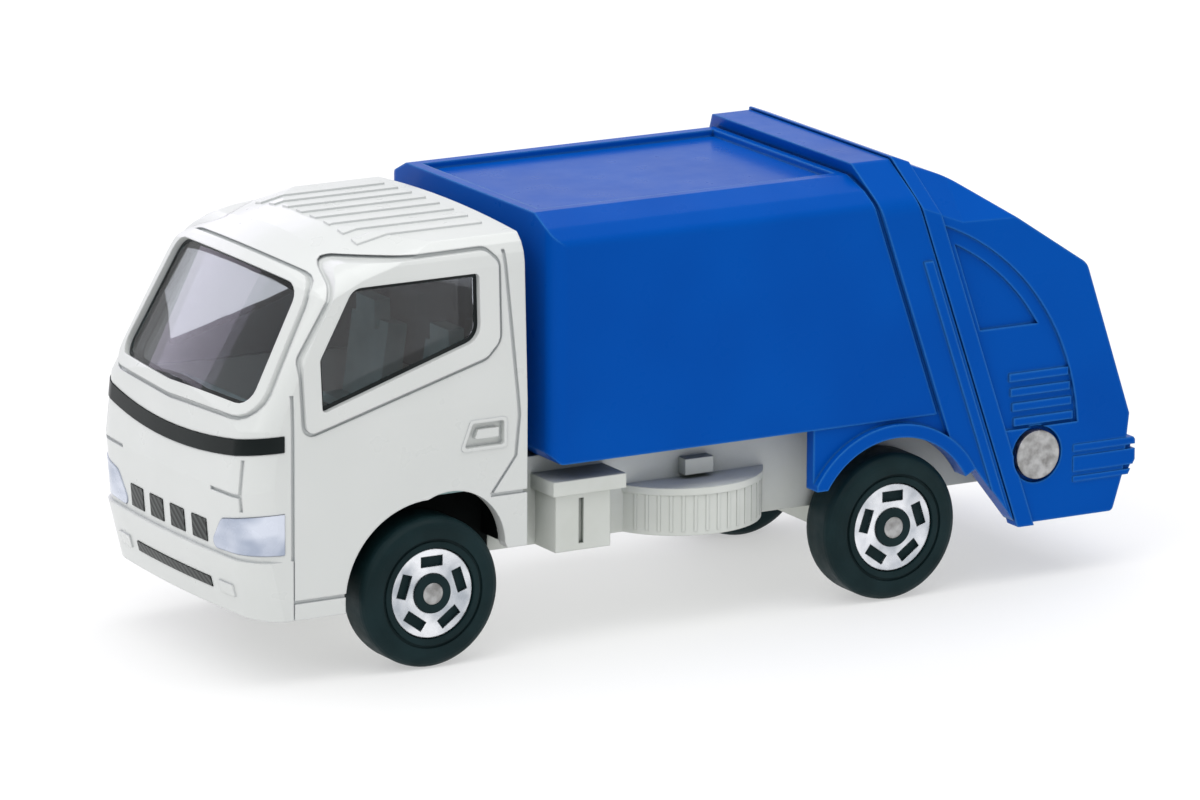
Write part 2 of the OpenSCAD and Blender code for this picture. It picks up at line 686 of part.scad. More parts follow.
// One grey moulding: floor, two seats, dashboard and steering wheel
module cab_interior() color("dimgray") {
    w = cab_w / 2 - cab_wall - 0.15;
    x0 = deck_x1 + base_fit;
    x1 = front_axle_x + interior_l1;
    floor_t = 0.7;
    seat_x = front_axle_x - seat_back;
    lining_t = 0.5;
    backrest_in = 0.2;
    backrest_lean = -8;
    dash_x = x1 - dash_l;
    translate([x0, -w, cab_floor_z]) cube([x1 - x0, 2 * w, floor_t]);
    // Linings of the wheel wells
    both_sides() {
        translate([x0, lining_y, base_z0])
            cube([well_x1 - x0, base_w / 2 - lining_y, cab_floor_z - base_z0 + 0.1]);
        for (x = [x0, well_x1 - lining_t]) translate([x, lining_y, cab_rear_z0 + 0.4])
            cube([lining_t, w - lining_y, cab_floor_z - cab_rear_z0 - 0.3]);
    }
    both_sides() {
        translate([seat_x, seat_y - seat_w / 2, cab_floor_z]) cube([seat_l, seat_w, seat_h]);
        translate([seat_x, seat_y, cab_floor_z + 1]) rotate([0, backrest_lean, 0])
            translate([-backrest_t / 4, backrest_in - seat_w / 2, 0])
                cube([backrest_t, seat_w - 2 * backrest_in, backrest_h - 1]);
        translate([seat_x - 0.9, seat_y - headrest_w / 2, cab_floor_z + backrest_h - 0.6])
            cube([backrest_t - 0.3, headrest_w, 2.2]);
    }
    translate([dash_x, -w, cab_floor_z]) cube([dash_l, 2 * w, dash_h]);
    // Steering wheel on its column, ahead of the left seat
    translate([dash_x - steer_r, seat_y, cab_floor_z + dash_h + 1.2]) rotate([0, -30, 0])
        cylinder(r = steer_r, h = 0.6);
    translate([dash_x - steer_r, seat_y, cab_floor_z + dash_h + 1.4]) rotate([0, 110, 0])
        cylinder(r = 0.5, h = steer_r + 0.9);
}

module headlamp(side) color("lightsteelblue") inlay() lamp_zone(side, -inlay_gap);
module headlamp_left() { headlamp(1); }
module headlamp_right() { headlamp(-1); }
module grille_band() color([0.05, 0.05, 0.05]) inlay() band_zone(-inlay_gap);
module grille_panels() color([0.05, 0.05, 0.05]) inlay() grille_zone(-inlay_gap);
module bumper_slot() color([0.05, 0.05, 0.05]) inlay(bumper_proud) bumper_slot_zone(-inlay_gap);

// Side outline of the load body, (x, z), from the seam with the tailgate to the front
function frame_front(z) = frame_x + (z - body_z0) * lean_tan;
function frame_rear(z) = frame_front(z) - frame_l;
function body_section(grow, top, t) = let (w = body_w / 2 + grow - t, s = top - t)
    [[-w, 0], [w, 0], [w, s - shoulder_drop - 1], [w - 1, s - shoulder_drop], [rim_y + grow, s],
     [-rim_y - grow, s], [-w + 1, s - shoulder_drop], [-w, s - shoulder_drop - 1]];
module body_prism(grow, top, t) {
    along(tail_x, body_x1 - t) polygon(rounded(body_section(grow, top, t), [0, 0, 1, 0.6, 0.2, 0.2, 0.6, 1]));
}
module body_plan(t) {
    w = body_w / 2 + frame_proud + 1;
    corner = body_w / 2 - t;
    r = body_r - t;
    difference() {
        translate([tail_x, -w, 0]) cube([body_x1 - t - tail_x, 2 * w, far]);
        both_sides() translate([body_x1 - t - r, corner - r, -1]) difference() {
            cube([r + 1, r + 1, far]);
            cylinder(r = r, h = far);
        }
    }
}
// Leaning slab from x to x + w at the body's lower edge
module leaning_slab(x, w) {
    translate([x, -far / 2, body_z0]) rotate([0, tail_lean, 0]) translate([0, 0, -far / 2])
        cube([w, far, far]);
}
// Space ahead of a leaning plane that crosses the body's lower edge at x
module ahead_of(x) { leaning_slab(x, far); }
// Point at the rear end of the wheel arch, r from the axle
arch_end_a = 28;
function arch_end(r) = [rear_axle_x - r * cos(arch_end_a), axle_z + r * sin(arch_end_a)];
module body_outline() {
    frame_z0 = tail_z0 + 0.3;
    front_edge = 0.8;
    across(body_w + 4) polygon([[tail_x, body_z0], [frame_rear(body_z0), body_z0],
        [frame_rear(frame_z0), frame_z0], arch_end(rear_arch_r + lip_w), arch_end(rear_arch_r - 0.5),
        [rear_axle_x, skirt_z0], [rear_axle_x + skirt_l, skirt_z0], [rear_axle_x + skirt_l, body_z0],
        [body_x1 - front_edge, body_z0], [body_x1, body_z0 + front_edge], [body_x1, far], [tail_x, far]]);
}
module rear_arch(r, w) { cross_bar(rear_axle_x, axle_z, r, w); }

// Rear frame: its section has sloping shoulders
frame_half = body_w / 2 + frame_proud;
module frame_prism() {
    outline = [[-frame_half, 0], [frame_half, 0], [frame_half, frame_h - ridge_drop], [ridge_y, frame_h],
        [-ridge_y, frame_h], [-frame_half, frame_h - ridge_drop]];
    outer_r = 2;
    ridge_r = 0.3;
    along(tail_x, body_x1) polygon(rounded(outline, [0, 0, outer_r, ridge_r, ridge_r, outer_r]));
}

module load_body() color("mediumblue") {
    groove_w = 0.3;
    groove_depth = 0.2;
    bead_w = 0.75;
    bead_z1 = 25.6;
    bead_half = frame_half + 0.18;
    difference() {
        intersection() {
            union() {
                difference() {
                    intersection() {
                        body_prism(0, body_h, 0);
                        body_plan(0);
                    }
                    both_sides() translate([rear_axle_x - rear_arch_r, body_w / 2 - skirt_in, 0])
                        cube([2 * rear_arch_r + 1, 2, body_z0]);
                    difference() {
                        leaning_slab(frame_x + 0.04, groove_w);
                        body_prism(0, body_h, groove_depth);
                    }
                }
                difference() {
                    frame_prism();
                    ahead_of(frame_x);
                }
                // Bead beside the tailgate
                intersection() {
                    leaning_slab(frame_x - frame_l + 0.35, bead_w);
                    translate([tail_x, -bead_half, 0]) cube([truck_l, 2 * bead_half, bead_z1]);
                }
                // Lip round the wheel arch
                rear_arch(rear_arch_r + lip_w, body_w + 2 * lip_proud);
            }
            ahead_of(frame_x - frame_l);
            body_outline();
        }
        difference() {
            intersection() {
                body_prism(0, body_h - roof_sink, body_wall);
                body_plan(body_wall);
            }
            translate([tail_x, -body_w / 2, body_z0]) cube([truck_l, body_w, body_floor_t]);
        }
        rear_arch(rear_arch_r, body_w + 4);
        translate([frame_front(body_h) + 1, -rim_y + rim_w, body_h - roof_sink])
            cube([body_x1 - rim_w - frame_front(body_h) - 1, 2 * (rim_y - rim_w), 2]);
    }
}

// The tailgate's front edge at a height, and its side outline, (x, z), anticlockwise
function seam_at(z) = frame_rear(z) - tail_gap;
block_l = 5.5;
block_z0 = heel_z;
block_z1 = 10.05;
top_front = [seam_at(frame_h), frame_h];
top_turn = [tail_x + crown_x, crown_z];
roof_end = [tail_x + brow_x, brow_z];
waist = [tail_x + waist_x, waist_z];
tail_outline = [[seam_at(tail_z0), tail_z0], top_front, top_turn, roof_end, waist,
    [tail_x + heel_x, heel_z], [tail_x + foot_x, tail_z0]];
tail_outline_r = [0.3, 0, 9, 1.4, 0, 0, 0.4];
floor_z = pin_z + base_end_r + tip_gap;
sill_z = floor_z + hopper_t;
panel_x = pin_x + 1;
module tail_block(t) {
    half = tail_w / 2;
    ridge_share = 0.43;
    ridge_end = top_turn + (roof_end - top_turn) * ridge_share;
    difference() {
        across(tail_w - 2 * t)
            polygon(rounded(grown(tail_outline, -t), [for (r = tail_outline_r) max(r - t, 0)]));
        both_sides() {
            intersection() {
                beyond([top_front[0], ridge_y, top_front[1]], [top_front[0], half, top_front[1] - ridge_drop],
                    [top_turn[0], ridge_y, top_turn[1]], t);
                translate([top_turn[0], 0, 0]) cube([far, far, far]);
            }
            intersection() {
                beyond([top_turn[0], ridge_y, top_turn[1]], [top_turn[0], half, top_turn[1] - ridge_drop],
                    [ridge_end[0], half, ridge_end[1]], t);
                translate([top_turn[0] + 0.01 - far, 0, 0]) cube([far, far, far]);
            }
        }
    }
}
// Front panel and floor of the hopper, (x, z)
module hopper_lining() {
    lean = (frame_h - sill_z) * lean_tan;
    across(tail_w) polygon([[tail_x, floor_z], [panel_x + hopper_t, floor_z],
        [panel_x + hopper_t + lean, frame_h], [panel_x + lean, frame_h], [panel_x, sill_z],
        [tail_x, sill_z]]);
}
// Raised frame round the hopper's mouth
module mouth_frame() {
    intersection() {
        tail_block(-mouth_frame_proud);
        translate([tail_x - 1, -mouth_w / 2 - mouth_frame_w, sill_z - mouth_frame_w])
            cube([6, mouth_w + 2 * mouth_frame_w, mouth_z1 - sill_z + 2 * mouth_frame_w]);
    }
}
// Rear bumper with the lamp blocks that wrap round the corners, each with two grooves
module lamp_blocks() {
    groove_h = 0.35;
    side_depth = 0.15;
    rear_depth = 0.25;
    difference() {
        across(tail_w + 2 * lamp_proud) polygon([[tail_x + block_l, block_z0], [tail_x + block_l, block_z1],
            [tail_x + 0.15, block_z1], [tail_x, block_z1 - 0.2], [tail_x, block_z0 + 1.1],
            [tail_x + 0.6, block_z0]]);
        for (z = [block_z0 + 0.4, block_z1 - 0.9]) both_sides() difference() {
            translate([tail_x - 1, lamp_y, z]) cube([block_l + 2, tail_w, groove_h]);
            translate([tail_x + rear_depth, 0, block_z0 - 1]) cube([far, tail_w / 2 - side_depth, far]);
        }
    }
}
// Stepped panel in the tailgate's sides, from the flange to the arc round it
module side_panel(r, x, z0, depth) {
    lean_x = x + (far - z0) * lean_tan;
    difference() {
        across(tail_w + 1) intersection() {
            translate([rear_axle_x + panel_cx, panel_cz]) circle(r = r, $fn = 128);
            polygon([[tail_x, z0], [x, z0], [lean_x, far], [tail_x, far]]);
        }
        across(tail_w - 2 * depth) polygon([[tail_x, 0], [nose_x, 0], [nose_x, far], [tail_x, far]]);
    }
}
module louvres() {
    louvre_h = 0.6;
    louvre_l = 5.2;
    louvre_in = 0.1;
    louvre_step = [-0.15, 0, -1.15];
    for (k = [0:3])
        translate([pin_x + 2.45 - louvre_l, -tail_w / 2 + louvre_in, 15.5] + k * louvre_step)
            cube([louvre_l, tail_w - 2 * louvre_in, louvre_h]);
}
// Ribs across the hopper's front panel
module panel_ribs() {
    rib_l = 0.8;
    rib_h = 0.6;
    side_in = 0.5;
    for (z = [15.6, 18.2, 20.8])
        translate([panel_x + (z - sill_z) * lean_tan - rib_l / 2, -tail_w / 2 + side_in, z])
            cube([rib_l, tail_w - 2 * side_in, rib_h]);
}
module tailgate() color("mediumblue") {
    inner_w = tail_w - 2 * tail_wall;
    seam = seam_at(body_z0);
    pin_fit = 0.02;
    flange_gap = 0.03;
    difference() {
        union() {
            difference() {
                tail_block(0);
                side_panel(panel_r, seam_at(panel_z0) - 0.3, panel_z0, panel_step);
                side_panel(panel_r - panel_rim, seam_at(shelf_z) - flange_w - 0.6, shelf_z, 2 * panel_step);
            }
            // Flange along the front edge
            intersection() {
                tail_block(-flange_proud);
                leaning_slab(seam - flange_w, flange_w - flange_gap);
            }
            mouth_frame();
            lamp_blocks();
            louvres();
        }
        difference() {
            tail_block(tail_wall);
            hopper_lining();
            panel_ribs();
        }
        translate([tail_x - 1, -mouth_w / 2, sill_z])
            cube([panel_x - tail_x, mouth_w, mouth_z1 - sill_z]);
        // Way for the base between the side cheeks, and the open underside behind it
        translate([pin_x - base_end_r - tip_gap, -inner_w / 2, 0]) cube([far, inner_w, floor_z]);
        translate([tail_x + foot_x + tail_wall, -inner_w / 2, 0]) cube([far, inner_w, heel_z]);
        cross_bar(pin_x, pin_z, pin_d / 2 + pin_fit, tail_w + 1);
        both_sides() translate([pin_x, tail_w / 2 - pin_pocket, pin_z]) rotate([-90, 0, 0])
            cylinder(r = pin_head_d / 2 + pin_pocket_gap, h = 2);
    }
}

module tipping_pin() color("silver") {
    seat = tail_w / 2 - pin_pocket;
    cross_bar(pin_x, pin_z, pin_d / 2, 2 * seat);
    both_sides() translate([pin_x, seat, pin_z]) rotate([-90, 0, 0])
        cylinder(r = pin_head_d / 2, h = pin_head_t);
}

module base() color("gainsboro") {
    w = base_w / 2;
    front_x1 = nose_x - 5;
    end_top = pin_z + base_end_r;
    panel_l = 17;
    panel_x0 = (front_axle_x + rear_axle_x - panel_l) / 2 - 2.5;
    panel_half = 6;
    panel_depth = 0.3;
    hole_d = 1.6;
    hole_out = 2.2;
    hole_depth = 1;
    front_sill_h = 3;
    difference() {
        union() {
            across(base_w) polygon([[pin_x, pin_z - base_end_r], [front_x1, base_z0], [front_x1, cab_floor_z],
                [deck_x1, cab_floor_z], [deck_x1, deck_z], [frame_rear(body_z0) + 1.2, deck_z],
                [frame_rear(body_z0) - 0.2, end_top], [pin_x, end_top]]);
            cross_bar(pin_x, pin_z, base_end_r, base_w);
            for (x = [front_axle_x, rear_axle_x]) translate([x - bearing_l / 2, -w, bearing_z0])
                cube([bearing_l, base_w, base_z0 - bearing_z0 + 1]);
            translate([well_x1 + base_fit, -cab_w / 2 + cab_wall, cab_z0 + 0.3])
                cube([front_x1 - well_x1 - base_fit, cab_w - 2 * cab_wall, front_sill_h]);
            both_sides() side_fittings();
        }
        for (x = [front_axle_x, rear_axle_x]) cross_bar(x, axle_z, axle_d / 2 + axle_play, base_w + 2);
        cross_bar(pin_x, pin_z, pin_d / 2 + pin_play, base_w + 2);
        // Bare sunk panel and blind holes in the underside
        translate([panel_x0, -panel_half, base_z0 - 2]) cube([panel_l, 2 * panel_half, 2 + panel_depth]);
        for (x = [panel_x0 - hole_out, panel_x0 + panel_l + hole_out])
            translate([x, 0, base_z0 - 1]) cylinder(d = hole_d, h = 1 + hole_depth);
        // Room for the linings of the wheel wells
        both_sides() translate([deck_x1 + 0.02, lining_y - base_fit, 0])
            cube([well_x1 - deck_x1, 2, cab_floor_z + 1]);
    }
}
module side_fittings() {
    w = base_w / 2;
    box_x1 = body_x1 - 0.4;
    box_d = body_w / 2 - box_in - w;
    spare_d = body_w / 2 - spare_in - w;
    spare_x = body_x1 - spare_back;
    lid_t = 1.1;
    lid_over = 1.1;
    box_body_l = box_l - 1.5;
    box_groove = 0.4;
    rim_t = 0.55;
    rim_out = 0.12;
    rib_w = 0.24;
    rib_depth = 0.3;
    lap = 0.1;
    // Tool box: lid, body and a groove down its front
    translate([box_x1 - box_l, w - lap, box_h - lid_t]) cube([box_l, box_d + lap, lid_t]);
    difference() {
        translate([box_x1 - box_l + lid_over, w - lap, base_z0])
            cube([box_body_l, box_d - 0.3, box_h - lid_t - base_z0]);
        translate([box_x1 - box_l / 2 + 0.3, w + box_d - 0.75, base_z0 + 0.5])
            cube([box_groove, 1, box_h - base_z0 - 2]);
    }
    // Spare wheel's cover with a rim round its top and fine ribs down its side
    translate([0, 0, base_z0]) intersection() {
        translate([spare_x, w + spare_d - spare_r, 0]) union() {
            cylinder(r = spare_r - rim_out, h = spare_h);
            translate([0, 0, spare_h - rim_t]) cylinder(r = spare_r, h = rim_t);
            for (a = [34:8:146]) rotate([0, 0, a]) translate([spare_r - rib_depth, -rib_w / 2, 0.3])
                cube([rib_depth - rim_out / 2, rib_w, spare_h - 0.6]);
        }
        translate([spare_x - spare_r, w - lap, -1]) cube([2 * spare_r, spare_r, far]);
    }
    // Small block on the wall above the cover
    translate([spare_x - 1.2, w - lap, 10.9]) cube([2.4, 1 + lap, 1.2]);
}

// One wheel, its outer face towards +Y at the given half width
module wheel_profile() {
    r = tyre_d / 2;
    groove_r = face_d / 2 + 0.55;
    groove_w = 0.22;
    groove_depth = 0.18;
    back_rib = 0.9;
    back_w = 1.6;
    head_fit = 0.02;
    rotate_extrude() difference() {
        polygon(rounded([[axle_d / 2, 0], [r, 0], [r, tyre_w], [axle_d / 2, tyre_w]],
            [0, shoulder_r, shoulder_r, 0]));
        translate([hub_d / 2, tyre_w - dish_depth]) square([(face_d - hub_d) / 2 + 0.1, 2]);
        translate([0, tyre_w - axle_head_t]) square([axle_head_d / 2 + head_fit, 2]);
        translate([groove_r, tyre_w - groove_depth]) square([groove_w, 2]);
        translate([hub_d / 2 + back_rib, -1]) square([back_w, 1 + dish_depth]);
    }
}
module at_wheel(x, side) {
    turned = side > 0 ? 0 : 180;
    translate([x, 0, axle_z]) rotate([0, 0, turned]) translate([0, wheels_over / 2 - tyre_w, 0])
        rotate([-90, 0, 0]) children();
}
module wheel(x, side) color([0.1, 0.11, 0.11]) at_wheel(x, side) wheel_profile();
module wheel_face(x, side) color("silver") at_wheel(x, side) translate([0, 0, tyre_w - dish_depth]) {
    hub_fit = 0.02;
    slot_r = (face_d + hub_d) / 4;
    difference() {
        cylinder(r = face_d / 2, h = face_t);
        translate([0, 0, -1]) cylinder(r = hub_d / 2 + hub_fit, h = 3);
        for (k = [0:slot_count - 1]) rotate([0, 0, 360 * k / slot_count - 90])
            translate([slot_r - slot_h / 2, -slot_l / 2, -1]) cube([slot_h, slot_l, 3]);
    }
}
module wheel_front_left() { wheel(front_axle_x, 1); }
module wheel_front_right() { wheel(front_axle_x, -1); }
module wheel_rear_left() { wheel(rear_axle_x, 1); }
module wheel_rear_right() { wheel(rear_axle_x, -1); }
module wheel_face_front_left() { wheel_face(front_axle_x, 1); }
module wheel_face_front_right() { wheel_face(front_axle_x, -1); }
module wheel_face_rear_left() { wheel_face(rear_axle_x, 1); }
module wheel_face_rear_right() { wheel_face(rear_axle_x, -1); }

module axle(x) color("silver") {
    cross_bar(x, axle_z, axle_d / 2, wheels_over - 2 * axle_head_t);
    both_sides() translate([x, wheels_over / 2 - axle_head_t, axle_z]) rotate([-90, 0, 0])
        cylinder(r = axle_head_d / 2, h = axle_head_t);
}
module front_axle() { axle(front_axle_x); }
module rear_axle() { axle(rear_axle_x); }

cab_shell();
cab_glazing();
cab_interior();
headlamp_left();
headlamp_right();
grille_band();
grille_panels();
bumper_slot();
base();
load_body();
tailgate();
tipping_pin();
front_axle();
rear_axle();
wheel_front_left();
wheel_front_right();
wheel_rear_left();
wheel_rear_right();
wheel_face_front_left();
wheel_face_front_right();
wheel_face_rear_left();
wheel_face_rear_right();
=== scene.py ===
import math

import bpy
from mathutils import Matrix, Vector


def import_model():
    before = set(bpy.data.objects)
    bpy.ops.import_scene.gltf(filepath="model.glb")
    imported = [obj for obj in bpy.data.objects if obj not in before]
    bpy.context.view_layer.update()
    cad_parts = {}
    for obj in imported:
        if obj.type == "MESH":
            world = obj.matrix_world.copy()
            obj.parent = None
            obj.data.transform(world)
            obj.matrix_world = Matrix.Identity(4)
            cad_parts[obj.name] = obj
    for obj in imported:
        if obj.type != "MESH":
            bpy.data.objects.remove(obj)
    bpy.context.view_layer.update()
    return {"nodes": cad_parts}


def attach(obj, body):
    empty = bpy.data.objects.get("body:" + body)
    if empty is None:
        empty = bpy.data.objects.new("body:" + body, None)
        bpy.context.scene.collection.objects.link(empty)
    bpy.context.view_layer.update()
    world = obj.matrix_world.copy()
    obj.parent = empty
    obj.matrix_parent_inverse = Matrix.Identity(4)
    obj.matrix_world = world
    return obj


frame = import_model()
MM = 0.001


def at_mm(x, y, z):
    return Vector((x, y, z)) * MM


# Materials

MIX_A, MIX_B, MIX_RESULT = 6, 7, 2    # the Mix node's colour sockets
EDGE_SAMPLES, SHADE_SAMPLES = 6, 8
EDGE_HIGHLIGHT_MAX = 0.75                      # the most that the painted edge highlight covers


class Shader:
    """A Principled material whose textures lie in the object's own space, in metres."""

    def __init__(self, name, rough, metal=0.0, **sockets):
        self.mat = bpy.data.materials.new(name)
        self.mat.use_nodes = True
        self.nodes = self.mat.node_tree.nodes
        self.links = self.mat.node_tree.links
        self.bsdf = self.nodes["Principled BSDF"]
        self.bsdf.inputs["Roughness"].default_value = rough
        self.bsdf.inputs["Metallic"].default_value = metal
        for socket, value in sockets.items():
            self.bsdf.inputs[socket.replace("_", " ")].default_value = value
        self.coord = self.nodes.new("ShaderNodeTexCoord").outputs["Object"]
        self.soft = None
        self.tint = None

    def node(self, kind, **settings):
        n = self.nodes.new("ShaderNode" + kind)
        for key, value in settings.items():
            setattr(n, key, value)
        return n

    def noise(self, size_mm, detail=3.0, stretch=(1, 1, 1)):
        """Noise in patches of about size_mm, with finer noise on them as detail grows."""
        mapping = self.node("Mapping")
        mapping.inputs["Scale"].default_value = stretch
        self.links.new(self.coord, mapping.inputs["Vector"])
        n = self.node("TexNoise")
        n.inputs["Scale"].default_value = 1 / (size_mm * MM)
        n.inputs["Detail"].default_value = detail
        self.links.new(mapping.outputs["Vector"], n.inputs["Vector"])
        return n.outputs["Fac"]

    def ramp(self, fac, low, high, start, end):
        r = self.node("ValToRGB")
        for stop, place, colour in zip(r.color_ramp.elements, (start, end), (low, high)):
            stop.position = place
            stop.color = (*colour, 1)
        self.links.new(fac, r.inputs["Fac"])
        return r.outputs["Color"]

    def value(self, fac, low, high, start=0.3, end=0.7):
        """Low where fac is at start or under, high where it is at end or over."""
        m = self.node("MapRange")
        m.inputs["From Min"].default_value = start
        m.inputs["From Max"].default_value = end
        m.inputs["To Min"].default_value = low
        m.inputs["To Max"].default_value = high
        self.links.new(fac, m.inputs["Value"])
        return m.outputs["Result"]

    def base_colour(self, tint):
        self.tint = tint
        self.links.new(tint, self.bsdf.inputs["Base Color"])
        return self

    def mix_in(self, fac, colour):
        """The tint so far turns to colour where fac is high."""
        m = self.node("Mix", data_type="RGBA")
        self.links.new(fac, m.inputs["Factor"])
        self.links.new(self.tint, m.inputs[MIX_A])
        m.inputs[MIX_B].default_value = (*colour, 1)
        return self.base_colour(m.outputs[MIX_RESULT])

    def colour(self, fac, low, high, start=0.35, end=0.65):
        return self.base_colour(self.ramp(fac, low, high, start, end))

    def roughness(self, fac, low, high):
        self.links.new(self.value(fac, low, high), self.bsdf.inputs["Roughness"])
        return self

    def soften(self, radius_mm):
        """Edges that catch the light as rounded ones do."""
        bevel = self.node("Bevel", samples=EDGE_SAMPLES)
        bevel.inputs["Radius"].default_value = radius_mm * MM
        self.soft = bevel.outputs["Normal"]
        self.links.new(self.soft, self.bsdf.inputs["Normal"])
        return self

    def painted_edge_highlight(self, edge, reach):
        """Painted highlight: a paler tint on the softened edges."""
        dot = self.node("VectorMath", operation="DOT_PRODUCT")
        self.links.new(self.soft, dot.inputs[0])
        self.links.new(self.node("NewGeometry").outputs["Normal"], dot.inputs[1])
        return self.mix_in(self.value(dot.outputs["Value"], EDGE_HIGHLIGHT_MAX, 0.0, 1 - reach, 1.0), edge)

    def painted_crease_shade(self, dark, reach_mm, deep=0.35, clear=0.8):
        """Painted shade, darker in seams and corners."""
        ao = self.node("AmbientOcclusion", samples=SHADE_SAMPLES, only_local=False)
        ao.inputs["Distance"].default_value = reach_mm * MM
        return self.mix_in(self.value(ao.outputs["AO"], 1.0, 0.0, deep, clear), dark)

    def grazing_coat(self, weight, start, end):
        """Clear gloss that shows only where the surface is seen at a low angle."""
        facing = self.node("LayerWeight").outputs["Facing"]
        self.links.new(self.value(facing, 0.0, weight, start, end), self.bsdf.inputs["Coat Weight"])
        return self

    def bump(self, fac, depth_mm, strength=1.0):
        b = self.node("Bump")
        b.inputs["Distance"].default_value = depth_mm * MM
        b.inputs["Strength"].default_value = strength
        self.links.new(fac, b.inputs["Height"])
        if self.soft is not None:
            self.links.new(self.soft, b.inputs["Normal"])
        self.links.new(b.outputs["Normal"], self.bsdf.inputs["Normal"])
        return self


# Gloss white on the cab casting, with painted highlights on its edges and painted shade in its seams
white_paint = Shader("white_paint", 0.32, Coat_Weight=0.25, Coat_Roughness=0.1)
white_paint.colour(white_paint.noise(9, 1), (0.635, 0.652, 0.635), (0.662, 0.677, 0.662))
white_paint.soften(0.16).painted_edge_highlight((0.8, 0.81, 0.81), 0.25).painted_crease_shade((0.49, 0.515, 0.52), 0.35)
white_paint.roughness(white_paint.noise(2.2), 0.26, 0.4)
white_paint.bump(white_paint.noise(1.6, 0), 0.004, 0.4)

# Deep blue on load body and tailgate, with a paler painted highlight on every edge and painted shade in its
# seams
blue_paint = Shader("blue_paint", 0.3, Specular_IOR_Level=0.03, Coat_Roughness=0.16)
blue_paint.colour(blue_paint.noise(9, 1), (0.0, 0.068, 0.375), (0.0, 0.076, 0.405))
blue_paint.soften(0.3).painted_edge_highlight((0.05, 0.27, 0.68), 0.3).painted_crease_shade((0.0, 0.03, 0.19), 0.4)
blue_paint.roughness(blue_paint.noise(2.2), 0.26, 0.38)
blue_paint.grazing_coat(0.28, 0.4, 0.74)
blue_paint.bump(blue_paint.noise(1.8, 0), 0.004, 0.4)

# Printed silver on the headlamps, with painted reflections in soft lighter and darker patches
lamp_silver = Shader("lamp_silver", 0.24, Coat_Weight=0.4, Coat_Roughness=0.08)
lamp_silver.colour(lamp_silver.noise(3.2, 2, (1, 0.6, 1.4)), (0.36, 0.41, 0.52), (0.66, 0.7, 0.8), 0.38, 0.62)
lamp_silver.roughness(lamp_silver.noise(1.4), 0.16, 0.34)
lamp_silver.soften(0.15).bump(lamp_silver.noise(2.2, 1, (1, 0.6, 1.3)), 0.12, 0.6)

# Pale satin plastic of the base, with painted shade under the load body
base_moulding = Shader("base_moulding", 0.42, Specular_IOR_Level=0.3)
base_moulding.colour(base_moulding.noise(4, 4), (0.585, 0.605, 0.565), (0.635, 0.655, 0.62))
base_moulding.soften(0.15).painted_crease_shade((0.1, 0.12, 0.1), 3.0, 0.1, 0.6)
base_moulding.roughness(base_moulding.noise(1.5), 0.36, 0.5)
base_moulding.bump(base_moulding.noise(0.35, 3), 0.008, 0.5)

# Grey plastic of seats and dashboard
grey_moulding = Shader("grey_moulding", 0.5, Specular_IOR_Level=0.3)
grey_moulding.colour(grey_moulding.noise(5), (0.24, 0.38, 0.38), (0.36, 0.52, 0.52))
grey_moulding.bump(grey_moulding.noise(0.4), 0.01, 0.6)

# Painted shade: near black for the wheel wells and the underside of the cab floor
painted_well_shade = Shader("painted_well_shade", 0.7, Specular_IOR_Level=0.05)
painted_well_shade.colour(painted_well_shade.noise(3), (0.002, 0.003, 0.003), (0.005, 0.007, 0.007))
painted_well_shade.bump(painted_well_shade.noise(0.5), 0.01, 0.6)

# Satin black wheels
wheel_black = Shader("wheel_black", 0.5, Specular_IOR_Level=0.12)
wheel_black.colour(wheel_black.noise(3, 4), (0.004, 0.015, 0.017), (0.007, 0.022, 0.025))
wheel_black.roughness(wheel_black.noise(1.2), 0.4, 0.6)
wheel_black.soften(0.12).bump(wheel_black.noise(0.4, 3), 0.008, 0.6)

# Hot-stamped silver on the wheel faces, brighter and duller in patches
wheel_silver = Shader("wheel_silver", 0.22, 1.0)
wheel_silver.colour(wheel_silver.noise(2.4, 3), (0.42, 0.45, 0.49), (0.84, 0.85, 0.88))
wheel_silver.roughness(wheel_silver.noise(0.7), 0.16, 0.34)
wheel_silver.soften(0.1).bump(wheel_silver.noise(0.5), 0.014, 0.5)

# Steel of pin and axles, mottled and a little pitted
steel = Shader("turned_steel", 0.34, 1.0)
steel.colour(steel.noise(0.8, 5), (0.24, 0.235, 0.23), (0.47, 0.47, 0.47), 0.32, 0.62)
steel.roughness(steel.noise(0.5, 4), 0.28, 0.55)
steel.soften(0.2).bump(steel.noise(0.4, 4), 0.05, 0.8)

# Clear plastic of the panes, faintly smoky
glass = Shader("clear_glazing", 0.03, Transmission_Weight=1.0, IOR=1.46)
glass.colour(glass.noise(9), (0.61, 0.63, 0.66), (0.66, 0.675, 0.705))
glass.bump(glass.noise(5, 1), 0.02, 0.3)

# Gloss black print of the band above the lamps
gloss_black = Shader("gloss_black", 0.25, Specular_IOR_Level=0.1, Coat_Weight=0.05, Coat_Roughness=0.05)
gloss_black.colour(gloss_black.noise(4), (0.003, 0.006, 0.006), (0.008, 0.012, 0.012))
gloss_black.bump(gloss_black.noise(6, 1, (1, 0.4, 1)), 0.08, 0.5)

# Painted shade of the sunken reveal round each pane, partly black print there
pane_edge_shade_and_print = Shader("pane_edge_shade_and_print", 0.4, Specular_IOR_Level=0.2)
pane_edge_shade_and_print.colour(pane_edge_shade_and_print.noise(2), (0.006, 0.009, 0.009), (0.014, 0.018, 0.018))
pane_edge_shade_and_print.bump(pane_edge_shade_and_print.noise(0.5), 0.01, 0.5)


